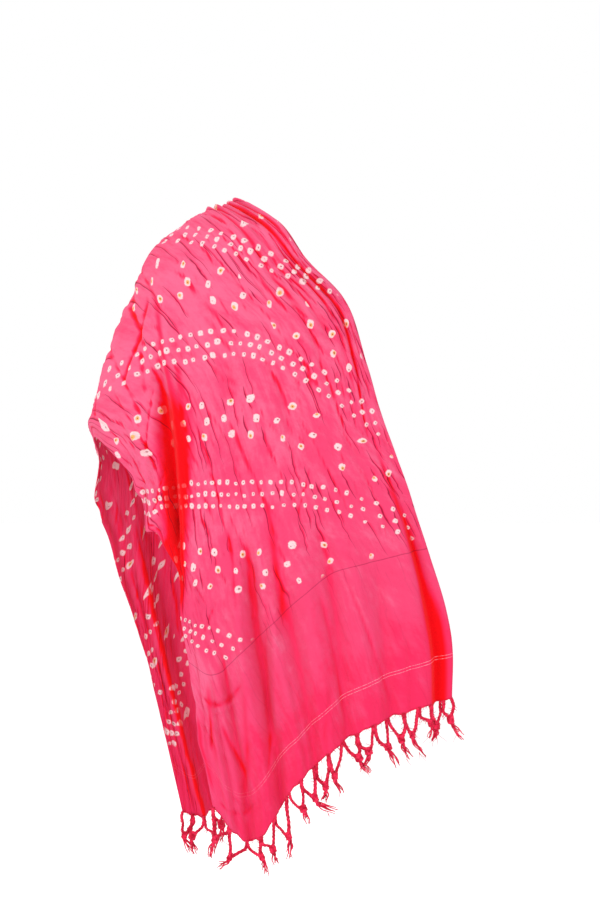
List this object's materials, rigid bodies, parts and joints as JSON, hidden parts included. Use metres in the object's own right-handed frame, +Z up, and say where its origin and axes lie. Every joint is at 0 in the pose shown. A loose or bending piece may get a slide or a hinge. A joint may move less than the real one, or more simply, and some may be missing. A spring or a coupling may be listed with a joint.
{
  "type": "dupatta stole",
  "caption": "Crinkled cotton dupatta stole with tie-dyed dots, draped over one shoulder and upper arm, with a knotted fringe at both ends.",
  "frame": {"origin": "the underside of the cloth on top of the wearer's right shoulder, where the wearer holds it up", "axes": "+Z up, -Y the way the wearer faces, -X towards the wearer's right arm"},
  "size_m": [0.5568, 0.2634, 1.0468],
  "materials": {
    "front_fall": "matte crinkled cotton",
    "shoulder_drape": "matte crinkled cotton",
    "back_fall": "matte crinkled cotton",
    "front_fringe": "matte twisted cotton yarn",
    "back_fringe": "matte twisted cotton yarn"
  },
  "bodies": {
    "root": {"front_fall": "front_fall", "shoulder_drape": "shoulder_drape", "back_fall": "back_fall", "front_fringe": "front_fringe", "back_fringe": "back_fringe"}
  },
  "joints": []
}
